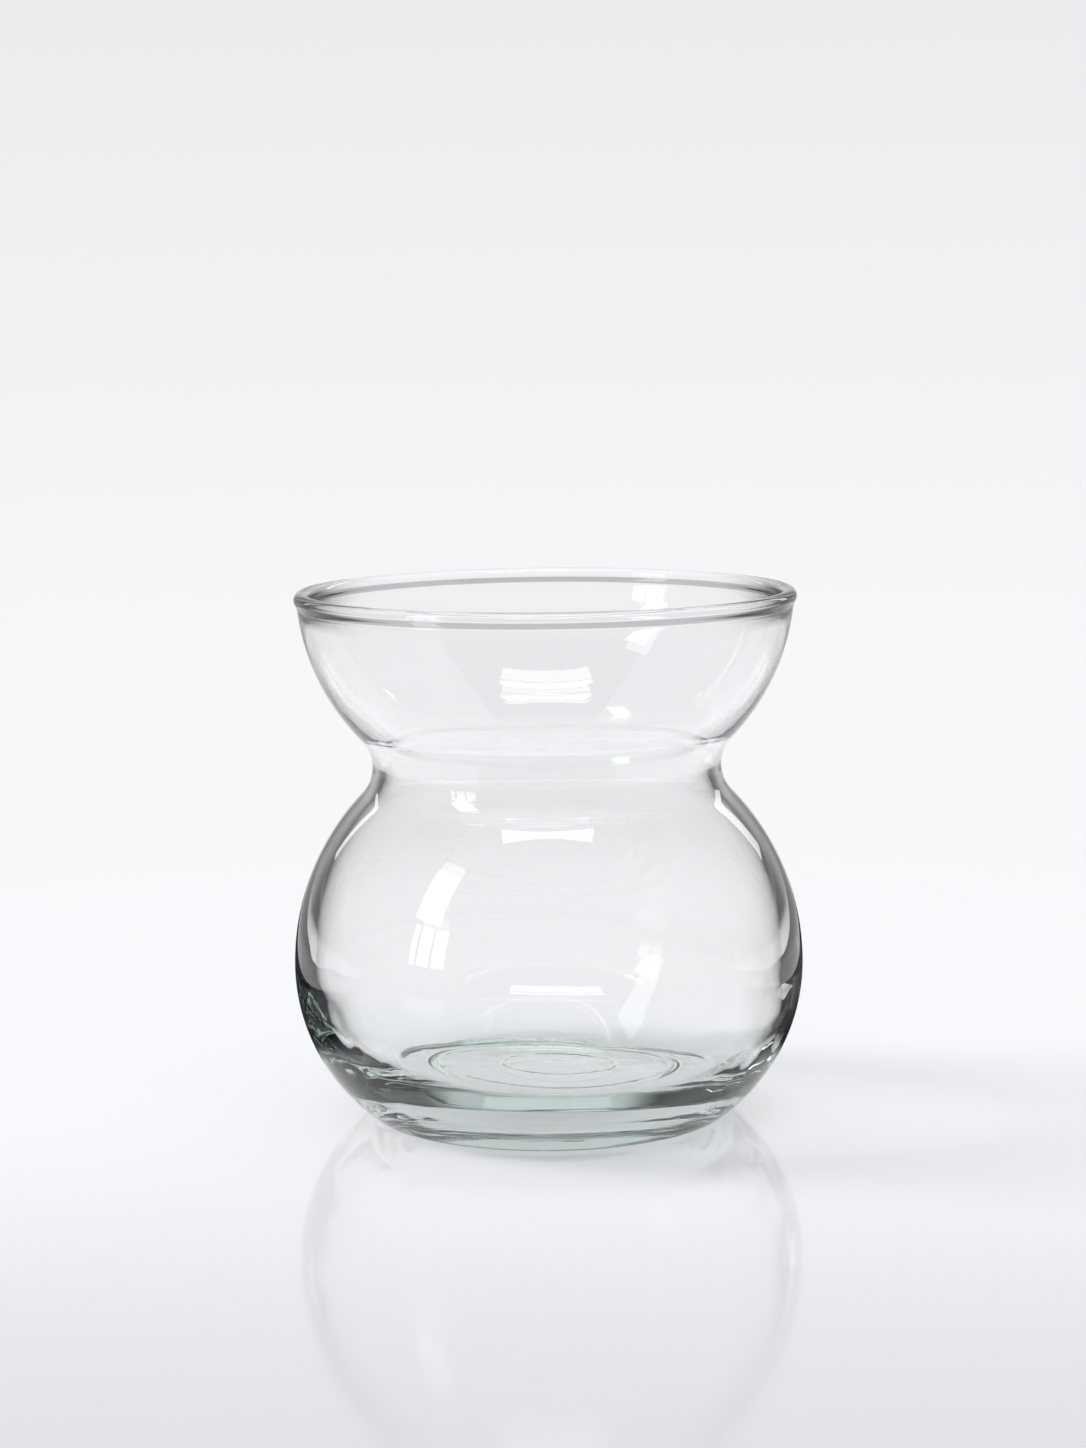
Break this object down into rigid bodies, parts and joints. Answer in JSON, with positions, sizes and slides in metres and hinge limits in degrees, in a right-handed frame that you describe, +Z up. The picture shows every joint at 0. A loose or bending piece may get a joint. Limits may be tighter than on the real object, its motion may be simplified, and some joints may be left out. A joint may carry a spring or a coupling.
{
  "type": "hyacinth forcing vase",
  "caption": "Squat clear glass forcing vase: a round water bulb, a narrow waist that stops a flower bulb, and an open cup with a beaded rim that holds it upright.",
  "frame": {"origin": "centre of the bearing ring, on the surface that the vase stands on", "axes": "+Z up along the vase's axis, from the base to the rim; the vase is round, so X and Y are free"},
  "size_m": [0.09, 0.09, 0.093],
  "materials": {
    "clear_glass": "clear soda-lime glass, fire-polished, faint grey-green in the thick base"
  },
  "bodies": {
    "root": {"forcing_vase": "clear_glass"}
  },
  "joints": []
}
